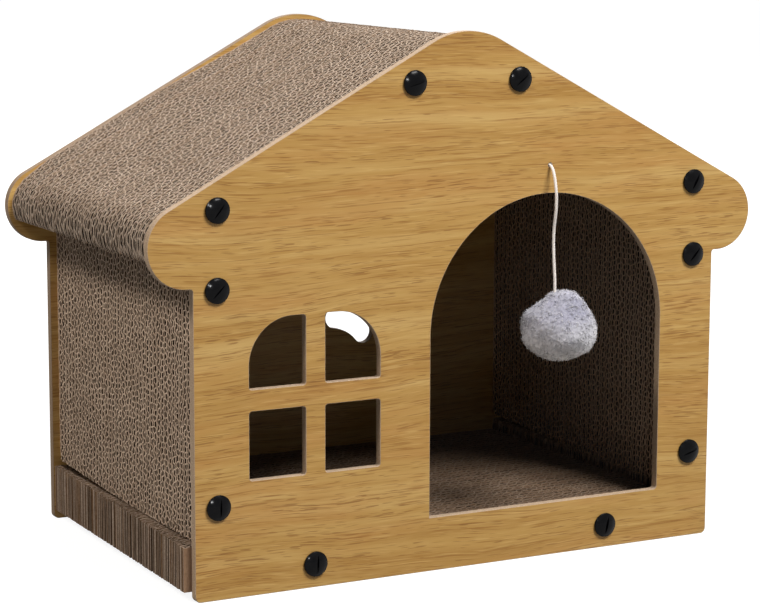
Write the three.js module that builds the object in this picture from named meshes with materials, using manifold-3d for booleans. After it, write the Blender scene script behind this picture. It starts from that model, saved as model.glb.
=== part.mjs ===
// Cat scratcher house: two wooden end panels, five pads of stacked corrugated board
// between them, twenty plastic screws, and a pom-pom on a cord in the doorway.
// Millimetres, +Z up. X runs along the front, and Y from the front to the back.
// The origin is under the middle of the house, on the surface that it stands on.

import * as THREE from "three";
import { mergeVertices } from "three/addons/utils/BufferGeometryUtils.js";
import Module from "manifold-3d";

// The whole house
const house_depth = 260;
const panel_thickness = 6;
const clearance = 0.3;
const overrun = 2;

// Panel outline: straight walls, round eaves and a round ridge. Its width is that of the
// window and the doorway with the wood beside and between them.
const window_margin = 39;
const pier_width = 37.9;
const door_margin = 43.1;
const notch_height = 205.5;
const eave_underside = 4.3;
const eave_radius = 26.7;
const ridge_height = 364;
const ridge_radius = 54.5;
const bottom_corner_radius = 4;
const notch_fillet_radius = 2;

// Doorway with a half-round head
const door_width = 184.1;
const door_sill_height = 37;
const door_spring_height = 160.8;
const door_corner_radius = 2.5;

// Window of two by two panes, the outer top corners rounded
const window_bottom = 76.9;
const pane_width = 40.8;
const lower_pane_height = 45.8;
const upper_pane_height = 46.6;
const window_bar = 14.3;
const window_arch_radius = 31.5;
const pane_corner_radius = 2;

// Bean-shaped vent in the back panel: a fat arc about a centre below it
const vent_centre_x = 27.6;
const vent_centre_height = 95.7;
const vent_bend_radius = 36;
const vent_width = 16.6;
const vent_middle_angle = THREE.MathUtils.degToRad(61.6);
const vent_half_angle = THREE.MathUtils.degToRad(22.3);

// Pads of stacked corrugated board
const pad_thickness = 22;
const roof_inset = 3.5;
const ridge_seam = 0.6;
const wall_inset = 5.6;
const wall_foot_wear = 3.5;
const base_underside = 6.5;
const base_thickness = 24.5;
const base_end_front_rise = 5.2;
const base_end_back_rise = 8.5;
const base_end_reach = 2.2;
const base_skew = 7;

// The layers of board in each pad end a little higher or lower. The main ones are grooves
// around the roof and wall pads, each as wide as two layers and four layers from the next.
const board_layer = 6.2;
const layers_per_groove = 2;
const layers_per_rib_and_groove = 4;
const groove_depth = 3.5;

// Screws: a domed head with a coin slot, on a shank with a coarse thread
const head_diameter = 17;
const head_height = 3.6;
const head_edge = 1.1;
const slot_width = 1.7;
const slot_length = 12.5;
const slot_depth = 1.3;
const shank_diameter = 6;
const thread_height = 1.4;
const thread_pitch = 6;
const screw_length = 34;
const tip_length = 4;

// Screw places, each measured from the piece that the screw holds
const roof_upper_screw_x = 40.2;
const roof_lower_screw_inset = 21.5;
const roof_screw_drop = 2.2;
const wall_upper_screw_drop = 1.9;
const wall_lower_screw_rise = 25.6;
const base_screw_inset = 86.5;
const base_screw_drop = 2.75;

// How each slot has come to rest, in degrees from level, going round from the ridge
const left_slot_angles = [16, 52, 45, 88, 88];
const right_slot_angles = [38, 62, 48, 16, 78];

// Cord and pom-pom
const cord_diameter = 2;
const cord_neck_diameter = 0.3;
const cord_neck_length = 1.9;
const cord_neck_overlap = 0.2;
const cord_hole_diameter = 3.2;
const cord_hole_rise = 19.1;
const knot_diameter = 6.5;
const pom_pom_width = 54;
const pom_pom_height = 50;
const pom_pom_drop = 108;
const pom_pom_offset = 2.6;

// The cord's centre line from the hole's axis, as [y, z], y from the panel's face
const upper_cord_route = [
  [6, 0.3], [3, 0.3], [0.4, 0], [-2, -1.2], [-3.8, -3.2], [-5.2, -6], [-6.6, -10], [-7.8, -15],
  [-8.5, -20], [-8.5, -26],
];
const lower_cord_route = [
  [-8.5, -28], [-8.3, -30], [-7.2, -36], [-5.9, -44], [-5.6, -54], [-6.6, -66], [-7.7, -76],
  [-8, -82.7],
];

// The pom-pom's outline from bottom to top, as shares of its half width and half height
const pom_pom_shares = [
  [0, -1], [0.58, -0.88], [0.8, -0.69], [0.96, -0.41], [1, -0.13], [0.96, 0.15], [0.79, 0.43],
  [0.53, 0.71], [0.3, 0.93], [0, 1],
];

// Places worked out from the sizes above
const window_width = 2 * pane_width + window_bar;
const wall_width = window_margin + window_width + pier_width + door_width + door_margin;
const wall_half = wall_width / 2;
const window_left = window_margin - wall_half;
const door_left = wall_half - door_margin - door_width;
const half_depth = house_depth / 2;
const pad_half_depth = half_depth - panel_thickness;
const eave_x = wall_half + eave_underside;
const eave_z = notch_height + eave_radius;
const ridge_z = ridge_height - ridge_radius;
const centre_span = Math.hypot(eave_x, ridge_z - eave_z);
const roof_slope = Math.atan2(ridge_z - eave_z, eave_x)
  + Math.asin((ridge_radius - eave_radius) / centre_span);
const roof_normal = Math.PI / 2 - roof_slope;
const wall_outer_x = wall_half - wall_inset;
const wall_inner_x = wall_outer_x - pad_thickness;
const floor_height = base_underside + base_thickness;
const base_end_height = floor_height + base_end_front_rise;
const base_end_back_height = floor_height + base_end_back_rise;
const wall_foot_height = base_end_height + clearance;
const wall_foot_back_height = base_end_back_height + clearance;
const door_radius = door_width / 2;
const door_centre_x = door_left + door_radius;
const cord_hole_height = door_spring_height + door_radius + cord_hole_rise;
const thread_radius = shank_diameter / 2 + thread_height;
const screw_hole_radius = thread_radius + clearance;

const wasm = await Module();
wasm.setup();

const wood = new THREE.MeshStandardMaterial({ color: 0xb28a4d, roughness: 0.5, metalness: 0 });
const board = new THREE.MeshStandardMaterial({ color: 0x8f7a68, roughness: 0.95, metalness: 0 });
const plastic = new THREE.MeshStandardMaterial({ color: 0x0b0c0f, roughness: 0.25, metalness: 0 });
const yarn = new THREE.MeshStandardMaterial({ color: 0xb9b8c4, roughness: 1, metalness: 0 });
const string = new THREE.MeshStandardMaterial({ color: 0xf0ece4, roughness: 0.8, metalness: 0 });

// Points on an arc, both ends included
function arc_points(x, z, radius, start, end, steps) {
  const points = [];
  for (let step = 0; step <= steps; step += 1) {
    const angle = start + ((end - start) * step) / steps;
    points.push(new THREE.Vector2(x + radius * Math.cos(angle), z + radius * Math.sin(angle)));
  }
  return points;
}

// A circle's points, drawn outside the circle so that the flats clear it
function hole_points(x, z, radius, sides) {
  const outer = radius / Math.cos(Math.PI / sides);
  return arc_points(x, z, outer, 0, 2 * Math.PI, sides).slice(0, sides);
}

function mirrored(points) {
  return points.map((point) => new THREE.Vector2(-point.x, point.y)).reverse();
}

// A profile in X and Z, carried along Y from y to y + length
function along_depth(shape, y, length) {
  const geometry = new THREE.ExtrudeGeometry(shape, { depth: length, bevelEnabled: false });
  geometry.rotateX(Math.PI / 2);
  geometry.translate(0, y + length, 0);
  return geometry;
}

// A box from its low corner to its high corner
function block(low, high) {
  const size = high.map((value, axis) => value - low[axis]);
  const geometry = new THREE.BoxGeometry(...size);
  geometry.translate(...size.map((value, axis) => low[axis] + value / 2));
  return geometry;
}

function to_solid(geometry) {
  const bare = geometry.clone();
  bare.deleteAttribute("normal");
  bare.deleteAttribute("uv");
  const merged = mergeVertices(bare);
  const corners = merged.index.array;
  const kept = [];
  for (let first = 0; first < corners.length; first += 3) {
    const [a, b, c] = corners.slice(first, first + 3);
    if (a !== b && b !== c && c !== a) kept.push(a, b, c);
  }
  const mesh = new wasm.Mesh({
    numProp: 3,
    vertProperties: new Float32Array(merged.attributes.position.array),
    triVerts: new Uint32Array(kept),
  });
  return new wasm.Manifold(mesh);
}

function to_geometry(solid) {
  const mesh = solid.getMesh();
  const geometry = new THREE.BufferGeometry();
  geometry.setAttribute("position", new THREE.BufferAttribute(mesh.vertProperties, 3));
  geometry.setIndex(new THREE.BufferAttribute(mesh.triVerts, 1));
  geometry.computeVertexNormals();
  return geometry;
}

function cut(geometry, cutters) {
  let solid = to_solid(geometry);
  for (const cutter of cutters) {
    solid = solid.subtract(to_solid(cutter));
  }
  return to_geometry(solid);
}

// Height of the right-hand roof slope, inset square to itself, above a given x
function roof_height(x, inset) {
  const rise = (eave_radius - inset - (x - eave_x) * Math.sin(roof_slope)) / Math.cos(roof_slope);
  return eave_z + rise;
}

// Right half of the panel's outline, from the bottom middle round to the ridge
function panel_side() {
  const corner = bottom_corner_radius;
  const fillet = notch_fillet_radius;
  return [
    ...arc_points(wall_half - corner, corner, corner, -Math.PI / 2, 0, 4),
    ...arc_points(wall_half + fillet, notch_height - fillet, fillet, Math.PI, Math.PI / 2, 3),
    ...arc_points(eave_x, eave_z, eave_radius, -Math.PI / 2, roof_normal, 14),
    ...arc_points(0, ridge_z, ridge_radius, roof_normal, Math.PI / 2, 6),
  ];
}

function panel_shape(openings) {
  const right = panel_side();
  const shape = new THREE.Shape([...right, ...mirrored(right).slice(1)]);
  for (const points of openings) {
    shape.holes.push(new THREE.Path(points));
  }
  return shape;
}

function door_points() {
  const corner = door_corner_radius;
  const right = door_left + door_width;
  return [
    new THREE.Vector2(door_left, door_sill_height),
    ...arc_points(right - corner, door_sill_height + corner, corner, -Math.PI / 2, 0, 3),
    ...arc_points(door_centre_x, door_spring_height, door_radius, 0, Math.PI, 28),
  ];
}

// A pane with its own radius at each corner: low left, low right, top right, top left
function pane_points(x, z, height, radii) {
  const corners = [[x, z], [x + pane_width, z], [x + pane_width, z + height], [x, z + height]];
  const inward = [[1, 1], [-1, 1], [-1, -1], [1, -1]];
  return corners.flatMap(([corner_x, corner_z], index) => {
    const radius = radii[index];
    const start = Math.PI + (index * Math.PI) / 2;
    const steps = radius > pane_corner_radius ? 9 : 2;
    const centre_x = corner_x + inward[index][0] * radius;
    const centre_z = corner_z + inward[index][1] * radius;
    return arc_points(centre_x, centre_z, radius, start, start + Math.PI / 2, steps);
  });
}

function window_panes() {
  const small = pane_corner_radius;
  const plain = [small, small, small, small];
  const right_x = window_left + pane_width + window_bar;
  const upper_z = window_bottom + lower_pane_height + window_bar;
  return [
    pane_points(window_left, window_bottom, lower_pane_height, plain),
    pane_points(right_x, window_bottom, lower_pane_height, plain),
    pane_points(window_left, upper_z, upper_pane_height, [small, small, small, window_arch_radius]),
    pane_points(right_x, upper_z, upper_pane_height, [small, small, window_arch_radius, small]),
  ];
}

function vent_points() {
  const low = vent_middle_angle - vent_half_angle;
  const high = vent_middle_angle + vent_half_angle;
  const half = vent_width / 2;
  const end_centre = (angle) => [
    vent_centre_x + vent_bend_radius * Math.cos(angle),
    vent_centre_height + vent_bend_radius * Math.sin(angle),
  ];
  const outer = vent_bend_radius + half;
  const inner = vent_bend_radius - half;
  const centre = [vent_centre_x, vent_centre_height];
  return [
    ...arc_points(...centre, outer, low, high, 6),
    ...arc_points(...end_centre(high), half, high, high + Math.PI, 6).slice(1),
    ...arc_points(...centre, inner, high, low, 5).slice(1),
    ...arc_points(...end_centre(low), half, low + Math.PI, low + 2 * Math.PI, 6).slice(1, 6),
  ];
}

// Screw places on the right-hand side, by the pad that each goes into
function screw_places() {
  const roof_middle = roof_inset + pad_thickness / 2 + roof_screw_drop;
  const wall_middle_x = (wall_outer_x + wall_inner_x) / 2;
  const base_middle = base_underside + base_thickness / 2 - base_screw_drop;
  const roof_place = (name, x) => ({ name, pad: "roof", x, z: roof_height(x, roof_middle) });
  const wall_place = (name, z) => ({ name, pad: "wall", x: wall_middle_x, z });
  return [
    roof_place("roof_upper", roof_upper_screw_x),
    roof_place("roof_lower", eave_x - roof_lower_screw_inset),
    wall_place("wall_upper", notch_height - wall_upper_screw_drop),
    wall_place("wall_lower", base_end_height + wall_lower_screw_rise),
    { name: "base", pad: "base", x: wall_half - base_screw_inset, z: base_middle },
  ];
}

const places = screw_places();

// Both panels have the same screw holes; side is -1 on the left and 1 on the right
function screw_holes() {
  return [-1, 1].flatMap((side) => places.map(
    (place) => hole_points(side * place.x, place.z, screw_hole_radius, 10),
  ));
}

// Blind holes in both ends of a pad
function pad_drills(pad, side) {
  const depth = screw_length - panel_thickness + clearance;
  const radius = screw_hole_radius / Math.cos(Math.PI / 10);
  const length = depth + overrun;
  return places.filter((place) => place.pad === pad).flatMap((place) => [-1, 1].map((end) => {
    const drill = new THREE.CylinderGeometry(radius, radius, length, 10);
    const middle = end * (pad_half_depth + overrun - length / 2);
    drill.translate(side * place.x, middle, place.z);
    return drill;
  }));
}

function front_panel() {
  const cord_hole = hole_points(door_centre_x, cord_hole_height, cord_hole_diameter / 2, 8);
  const openings = [door_points(), ...window_panes(), cord_hole, ...screw_holes()];
  return along_depth(panel_shape(openings), -half_depth, panel_thickness);
}

function back_panel() {
  const openings = [vent_points(), ...screw_holes()];
  return along_depth(panel_shape(openings), pad_half_depth, panel_thickness);
}

// Everything of a pad that lies outside its core, at each groove across its length
function pad_grooves(core) {
  const width = layers_per_groove * board_layer;
  const pitch = layers_per_rib_and_groove * board_layer;
  const count = Math.floor((2 * pad_half_depth) / pitch);
  const first = -(count - 1) * pitch / 2;
  const reach = wall_half + ridge_height;
  const slices = [];
  for (let groove = 0; groove < count; groove += 1) {
    const middle = first + groove * pitch;
    const low = [-reach, middle - width / 2, -overrun];
    slices.push(to_solid(block(low, [reach, middle + width / 2, reach])));
  }
  return to_geometry(wasm.Manifold.union(slices).subtract(to_solid(core)));
}

// One slope of the roof, thinner by depth above and below: it follows the panels' ridge
// and eave, and ends at seam_x
function roof_slope_solid(side, depth, seam_x) {
  const ridge_pad_radius = ridge_radius - roof_inset - depth;
  const eave_pad_radius = eave_radius - roof_inset - depth;
  const seam_angle = Math.acos(seam_x / ridge_pad_radius);
  const under_inset = roof_inset + pad_thickness - depth;
  const eave_end = roof_normal - Math.acos((eave_radius - under_inset) / eave_pad_radius);
  const points = [
    ...arc_points(0, ridge_z, ridge_pad_radius, seam_angle, roof_normal, 6),
    ...arc_points(eave_x, eave_z, eave_pad_radius, roof_normal, eave_end, 8),
    new THREE.Vector2(seam_x, roof_height(seam_x, under_inset)),
  ];
  const outline = side > 0 ? points : mirrored(points);
  return along_depth(new THREE.Shape(outline), -pad_half_depth, 2 * pad_half_depth);
}

// A roof pad meets its twin at the seam along the ridge
function roof_pad(side) {
  const pad = roof_slope_solid(side, 0, ridge_seam / 2);
  const grooves = pad_grooves(roof_slope_solid(side, groove_depth, -overrun));
  return cut(pad, [grooves, ...pad_drills("roof", side)]);
}

// A wall pad: its top follows the roof's underside, and its foot follows the base's end and
// is worn away towards the back
function wall_pad(side) {
  const roof_depth = roof_inset + pad_thickness + clearance;
  const points = [
    new THREE.Vector2(wall_inner_x, wall_foot_height),
    new THREE.Vector2(wall_outer_x, wall_foot_height),
    new THREE.Vector2(wall_outer_x, roof_height(wall_outer_x, roof_depth)),
    new THREE.Vector2(wall_inner_x, roof_height(wall_inner_x, roof_depth)),
  ];
  const outline = side > 0 ? points : mirrored(points);
  const pad = along_depth(new THREE.Shape(outline), -pad_half_depth, 2 * pad_half_depth);
  const position = pad.attributes.position;
  for (let index = 0; index < position.count; index += 1) {
    const at_foot = position.getZ(index) < wall_foot_height + clearance;
    const at_back = position.getY(index) > 0;
    if (at_foot && at_back) position.setZ(index, wall_foot_back_height);
  }
  const wear_start = (wall_foot_height + wall_foot_back_height) / 2;
  const wear = new THREE.Shape([
    new THREE.Vector2(0, wear_start - overrun),
    new THREE.Vector2(pad_half_depth + overrun, wear_start - overrun),
    new THREE.Vector2(pad_half_depth + overrun, wall_foot_back_height + wall_foot_wear),
    new THREE.Vector2(0, wear_start),
  ]);
  const wedge = new THREE.ExtrudeGeometry(wear, { depth: 2 * wall_half, bevelEnabled: false });
  wedge.rotateX(Math.PI / 2);
  wedge.rotateZ(Math.PI / 2);
  wedge.translate(-wall_half, 0, 0);
  const middle_x = (side * (wall_outer_x + wall_inner_x)) / 2;
  const half_core = pad_thickness / 2 - groove_depth;
  const reach = pad_half_depth + overrun;
  const core = block([middle_x - half_core, -reach, -overrun], [middle_x + half_core, reach, ridge_z]);
  return cut(pad, [wedge, pad_grooves(core), ...pad_drills("wall", side)]);
}

// The base pad: the walls stand over its raised ends, and its stack leans to one side
function base_pad() {
  const half_length = wall_half + base_end_reach;
  const low = [-half_length, -pad_half_depth, base_underside];
  const high = [half_length, pad_half_depth, base_end_back_height];
  const pad = block(low, high);
  const position = pad.attributes.position;
  for (let index = 0; index < position.count; index += 1) {
    const at_front = position.getY(index) < 0;
    if (at_front && position.getZ(index) > floor_height) position.setZ(index, base_end_height);
    const lean = (base_skew * position.getY(index)) / (2 * pad_half_depth);
    position.setX(index, position.getX(index) + lean);
  }
  const tray = block(
    [-wall_inner_x, -pad_half_depth - overrun, floor_height],
    [wall_inner_x, pad_half_depth + overrun, base_end_back_height + overrun],
  );
  return cut(pad, [tray, ...pad_drills("base", -1), ...pad_drills("base", 1)]);
}

// The screw's head, with its underside at y = 0 and its dome towards -Y
function screw_head() {
  const radius = head_diameter / 2;
  const dome = head_height - head_edge;
  const profile = [
    new THREE.Vector2(0, -head_height),
    new THREE.Vector2(radius * 0.55, -head_edge - dome * 0.82),
    new THREE.Vector2(radius * 0.88, -head_edge - dome * 0.36),
    new THREE.Vector2(radius, -head_edge),
    new THREE.Vector2(radius, 0),
    new THREE.Vector2(0, 0),
  ];
  return new THREE.LatheGeometry(profile, 16);
}

// The shank along +Y: rings of points whose radius rises and falls to make a thread
function screw_shank() {
  const sides = 6;
  const rows_per_turn = 3;
  const core = shank_diameter / 2;
  const row_height = thread_pitch / rows_per_turn;
  const start = panel_thickness + clearance;
  const threaded = screw_length - tip_length - start;
  const rows = Math.max(rows_per_turn, Math.floor(threaded / row_height));
  const rings = [{ y: -head_edge / 2, radius: () => core }, { y: start, radius: () => core }];
  for (let row = 1; row < rows; row += 1) {
    const radius = (side) => {
      const turn = row / rows_per_turn - side / sides;
      const wave = Math.abs(2 * (turn - Math.floor(turn)) - 1);
      return core + thread_height * wave;
    };
    rings.push({ y: start + row * row_height, radius });
  }
  rings.push({ y: screw_length - tip_length, radius: () => core });
  rings.push({ y: screw_length, radius: () => core / 3 });
  const points = [0, rings[0].y, 0];
  for (const ring of rings) {
    for (let side = 0; side < sides; side += 1) {
      const angle = (2 * Math.PI * side) / sides;
      const radius = ring.radius(side);
      points.push(radius * Math.sin(angle), ring.y, radius * Math.cos(angle));
    }
  }
  points.push(0, screw_length, 0);
  const last = points.length / 3 - 1;
  const at = (ring, side) => 1 + ring * sides + (side % sides);
  const triangles = [];
  for (let side = 0; side < sides; side += 1) {
    triangles.push(0, at(0, side + 1), at(0, side));
    triangles.push(last, at(rings.length - 1, side), at(rings.length - 1, side + 1));
    for (let ring = 0; ring + 1 < rings.length; ring += 1) {
      const corner = at(ring, side);
      const next = at(ring, side + 1);
      const above = at(ring + 1, side);
      const next_above = at(ring + 1, side + 1);
      triangles.push(corner, next, next_above, corner, next_above, above);
    }
  }
  const geometry = new THREE.BufferGeometry();
  geometry.setAttribute("position", new THREE.Float32BufferAttribute(points, 3));
  geometry.setIndex(triangles);
  return geometry;
}

function screw() {
  const slot = block(
    [-slot_length / 2, -head_height - overrun, -slot_width / 2],
    [slot_length / 2, slot_depth - head_height, slot_width / 2],
  );
  const head = to_solid(screw_head()).subtract(to_solid(slot));
  return to_geometry(head.add(to_solid(screw_shank())));
}

// Ten screws in one end of the house. The far end is the near end turned half round,
// so that its left-hand screws are the right-hand ones seen from the front.
function screws(end_name, turned) {
  const geometry = screw();
  const group = new THREE.Group();
  group.rotation.z = turned ? Math.PI : 0;
  for (const side of [-1, 1]) {
    const side_name = (side < 0) !== turned ? "left" : "right";
    const angles = side < 0 ? left_slot_angles : right_slot_angles;
    places.forEach((place, index) => {
      const mesh = new THREE.Mesh(geometry, plastic);
      mesh.name = `${end_name}_${side_name}_${place.name}_screw`;
      mesh.position.set(side * place.x, -half_depth - clearance, place.z);
      mesh.rotation.y = -THREE.MathUtils.degToRad(angles[index]);
      group.add(mesh);
    });
  }
  return group;
}

// A round cord along a route of [y, z] points from the hole
function cord(route, steps) {
  const radius = cord_diameter / 2;
  const points = route.map(([y, z]) => new THREE.Vector3(
    door_centre_x, y - half_depth, z + cord_hole_height,
  ));
  const path = new THREE.CatmullRomCurve3(points);
  const section = new THREE.Shape(arc_points(0, 0, radius, 0, 2 * Math.PI, 8).slice(0, 8));
  return new THREE.ExtrudeGeometry(section, { steps, extrudePath: path, bevelEnabled: false });
}

// The lower cord starts in a short cone, so that it swings clear of the upper cord's end
function lower_cord() {
  const [start_y, start_z] = lower_cord_route[0];
  const neck = new THREE.CylinderGeometry(
    cord_neck_diameter / 2, cord_diameter / 2, cord_neck_length, 8,
  );
  neck.rotateX(Math.PI / 2);
  const neck_middle = start_z - cord_neck_overlap + cord_neck_length / 2;
  neck.translate(door_centre_x, start_y - half_depth, neck_middle + cord_hole_height);
  return to_geometry(to_solid(cord(lower_cord_route, 12)).add(to_solid(neck)));
}

function cord_knot() {
  const radius = knot_diameter / 2;
  const geometry = new THREE.SphereGeometry(radius, 10, 6);
  geometry.rotateX(Math.PI / 2);
  geometry.translate(door_centre_x, radius + clearance - pad_half_depth, cord_hole_height);
  return geometry;
}

function pom_pom() {
  const profile = pom_pom_shares.map(([across, up]) => new THREE.Vector2(
    (across * pom_pom_width) / 2,
    (up * pom_pom_height) / 2,
  ));
  const geometry = new THREE.LatheGeometry(profile, 16);
  geometry.rotateX(Math.PI / 2);
  const [cord_y] = lower_cord_route[lower_cord_route.length - 1];
  const middle_x = door_centre_x + pom_pom_offset;
  geometry.translate(middle_x, cord_y - half_depth, cord_hole_height - pom_pom_drop);
  return geometry;
}

function piece(name, geometry, material) {
  const mesh = new THREE.Mesh(geometry, material);
  mesh.name = name;
  return mesh;
}

const house = new THREE.Group();
house.add(
  piece("front_panel", front_panel(), wood),
  piece("back_panel", back_panel(), wood),
  piece("roof_pad_left", roof_pad(-1), board),
  piece("roof_pad_right", roof_pad(1), board),
  piece("wall_pad_left", wall_pad(-1), board),
  piece("wall_pad_right", wall_pad(1), board),
  piece("base_pad", base_pad(), board),
  screws("front", false),
  screws("back", true),
  piece("cord_knot", cord_knot(), string),
  piece("cord_upper", cord(upper_cord_route, 18), string),
  piece("cord_lower", lower_cord(), string),
  piece("pom_pom", pom_pom(), yarn),
);

export default house;
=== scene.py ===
"""Looks of the cat scratcher house, in metres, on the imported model's frame.

X runs along the front, Y from the front to the back, and the house stands on z = 0.
"""

import math

import bmesh
import bpy
import numpy as np
from mathutils import Matrix, Vector
from mathutils.kdtree import KDTree


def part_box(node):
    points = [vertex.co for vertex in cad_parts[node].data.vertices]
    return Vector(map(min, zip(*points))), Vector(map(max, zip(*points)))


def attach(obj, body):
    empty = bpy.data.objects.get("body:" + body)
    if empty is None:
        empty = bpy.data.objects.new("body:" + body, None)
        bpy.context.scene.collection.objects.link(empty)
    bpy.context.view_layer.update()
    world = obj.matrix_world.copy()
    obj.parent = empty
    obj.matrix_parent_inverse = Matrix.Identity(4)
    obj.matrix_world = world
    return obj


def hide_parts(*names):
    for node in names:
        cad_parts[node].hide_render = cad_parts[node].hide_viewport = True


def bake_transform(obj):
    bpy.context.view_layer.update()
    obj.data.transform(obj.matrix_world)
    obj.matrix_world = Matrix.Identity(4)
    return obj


MM = 0.001
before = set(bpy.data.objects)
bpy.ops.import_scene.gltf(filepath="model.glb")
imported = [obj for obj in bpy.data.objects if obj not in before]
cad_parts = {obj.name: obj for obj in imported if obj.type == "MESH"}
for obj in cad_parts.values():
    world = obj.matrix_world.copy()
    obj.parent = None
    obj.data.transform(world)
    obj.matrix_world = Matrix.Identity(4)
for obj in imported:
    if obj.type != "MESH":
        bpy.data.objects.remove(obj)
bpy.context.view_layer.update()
scene = bpy.context.scene
scene.view_settings.view_transform = "Standard"

# The whole house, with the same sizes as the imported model
HALF_DEPTH = 130 * MM
PANEL_THICKNESS = 6 * MM
PAD_HALF_DEPTH = HALF_DEPTH - PANEL_THICKNESS
WALL_HALF = 200 * MM
NOTCH_HEIGHT = 205.5 * MM
EAVE_X, EAVE_Z, EAVE_RADIUS = 204.3 * MM, 232.2 * MM, 26.7 * MM
RIDGE_Z, RIDGE_RADIUS = 309.5 * MM, 54.5 * MM
BOTTOM_CORNER_RADIUS = 4 * MM
NOTCH_FILLET_RADIUS = 2 * MM

ROOF_SPAN = math.hypot(EAVE_X, RIDGE_Z - EAVE_Z)
ROOF_RISE = math.atan2(RIDGE_Z - EAVE_Z, EAVE_X)
ROOF_SLOPE = ROOF_RISE + math.asin((RIDGE_RADIUS - EAVE_RADIUS) / ROOF_SPAN)
ROOF_NORMAL = math.pi / 2 - ROOF_SLOPE
# How long a slope is between its round ridge and its round eave
ROOF_STRAIGHT = math.sqrt(ROOF_SPAN ** 2 - (RIDGE_RADIUS - EAVE_RADIUS) ** 2)

# Openings of the panels
DOOR_LEFT, DOOR_WIDTH = -27.2 * MM, 184.1 * MM
DOOR_SILL, DOOR_SPRING, DOOR_CORNER_RADIUS = 37 * MM, 160.8 * MM, 2.5 * MM
WINDOW_LEFT, WINDOW_BOTTOM, WINDOW_BAR = -161 * MM, 76.9 * MM, 14.3 * MM
PANE_WIDTH, LOWER_PANE, UPPER_PANE = 40.8 * MM, 45.8 * MM, 46.6 * MM
PANE_CORNER_RADIUS, WINDOW_ARCH_RADIUS = 2 * MM, 31.5 * MM
VENT_X, VENT_Z, VENT_BEND_RADIUS, VENT_WIDTH = 27.6 * MM, 95.7 * MM, 36 * MM, 16.6 * MM
VENT_ANGLES = math.radians(61.6 - 22.3), math.radians(61.6 + 22.3)
CORD_HOLE_RADIUS = 1.6 * MM
PANEL_BEVEL = 0.35 * MM

# Pads of corrugated board
PAD_THICKNESS = 22 * MM
ROOF_INSET = 3.5 * MM
RIDGE_SEAM = 0.6 * MM
WALL_OUTER = 194.4 * MM
WALL_INNER = WALL_OUTER - PAD_THICKNESS
WALL_CLEARANCE = 0.3 * MM
BASE_UNDERSIDE, FLOOR_HEIGHT = 6.5 * MM, 31 * MM
BASE_END_FRONT, BASE_END_BACK = 36.2 * MM, 39.5 * MM
BASE_HALF_LENGTH, BASE_SKEW = 202.2 * MM, 7 * MM
WALL_FOOT_WEAR = 3.5 * MM
WALL_BACK_CORNER = 5 * MM
# How far the roof bulges over its inset at the back, halfway down a slope
ROOF_BULGE = 3.3 * MM
# Where the bulge grows from the ridge, fades at the eave's nose, and grows to the back
BULGE_DOWN, BULGE_NOSE = (20 * MM, 110 * MM), (-24 * MM, 10 * MM)
BULGE_BACK = -PAD_HALF_DEPTH / 2, PAD_HALF_DEPTH
# Where a roof pad's ends are: past the ridge's arc, and above the underside on the nose
PAST_RIDGE, NOSE_ABOVE_UNDERSIDE = 23.4 * MM, 1.2 * MM
# Where its first layers part from the front panel: along the slope, and how far into the stack
PARTING_GROWS, PARTING_DEPTH = (-10 * MM, 22 * MM), 16 * MM

# Double-wall board: its layers in a pad, how long a flute is, how much of a layer's room the
# bigger flutes take, and how thick the papers are
BOARDS, FLUTE_LENGTH, BIG_FLUTE_SHARE = 40, 7.9 * MM, 0.59
JOINT_PAPER, MIDDLE_PAPER, FLUTE_PAPER = 0.72 * MM, 0.50 * MM, 0.72 * MM
# A flute's stations: where each lies in its wave, in degrees, how far out it is, and how
# thick its paper is. The base, whose cells are seen at a flat angle, has the plainer ones.
ROUND_FLUTE = np.array([
    (18, 0.94, 1.35), (90, 1.0, 0.75), (162, 0.94, 1.35),
    (198, -0.94, 1.35), (270, -1.0, 0.75), (342, -0.94, 1.35),
])
PLAIN_FLUTE = np.array([(48, 1.0, 1.1), (132, 1.0, 1.1), (228, -1.0, 1.1), (312, -1.0, 1.1)])
ROUND_SPACING, PLAIN_SPACING = 3.4 * MM, 5 * MM
# A stack wanders in two waves: how far each goes, and its lengths along and through the stack
SWAYS = (0.55 * MM, 16 * MM, 30 * MM), (0.30 * MM, 5.3 * MM, -14 * MM)
# How uneven the papers are: how far their cut edges and their boards stand out, how thick they
# are as shares, how far a flute strays and is stretched, and by what share it is crushed
EDGE_FRAY, BOARD_SHIFT, PAPER_SHARES = 0.11 * MM, 0.05 * MM, (0.8, 1.25)
FLUTE_STRAY, FLUTE_STRETCH, FLUTE_CRUSH = 0.12 * MM, 0.9 * MM, 0.3
STRETCH_LENGTHS, CRUSH_LENGTHS = (9 * MM, 16 * MM), (12 * MM, 30 * MM)
# How close two points of a strip may be, and how low a strip
CLOSEST_POINTS, LOWEST_STRIP = 0.02 * MM, 0.2 * MM

# Cord and pom-pom
CORD_DIAMETER, CORD_PLIES, CORD_LAY = 2 * MM, 3, 5.5 * MM
CORD_SPACING, CORD_SIDES, KNOT_SPACING, KNOT_SIDES = 0.45 * MM, 18, 0.5 * MM, 12
CORD_HOLE = Vector((64.85 * MM, -HALF_DEPTH, 271.95 * MM))
POM_POM_CENTRE = Vector((67.45 * MM, -138 * MM, 163.95 * MM))
POM_POM_HALF_WIDTH, POM_POM_HALF_HEIGHT = 27 * MM, 25 * MM

# The cord's centre line from the hole's axis, as [y, z] in millimetres
CORD_ROUTE = [
    [9, 0.3], [6, 0.3], [3, 0.3], [0.4, 0], [-2, -1.2], [-3.8, -3.2], [-5.2, -6],
    [-6.6, -10], [-7.8, -15], [-8.5, -20], [-8.5, -26], [-8.5, -28], [-8.3, -30],
    [-7.2, -36], [-5.9, -44], [-5.6, -54], [-6.6, -66], [-7.7, -76], [-8, -82.7],
    [-8, -94],
]

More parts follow.
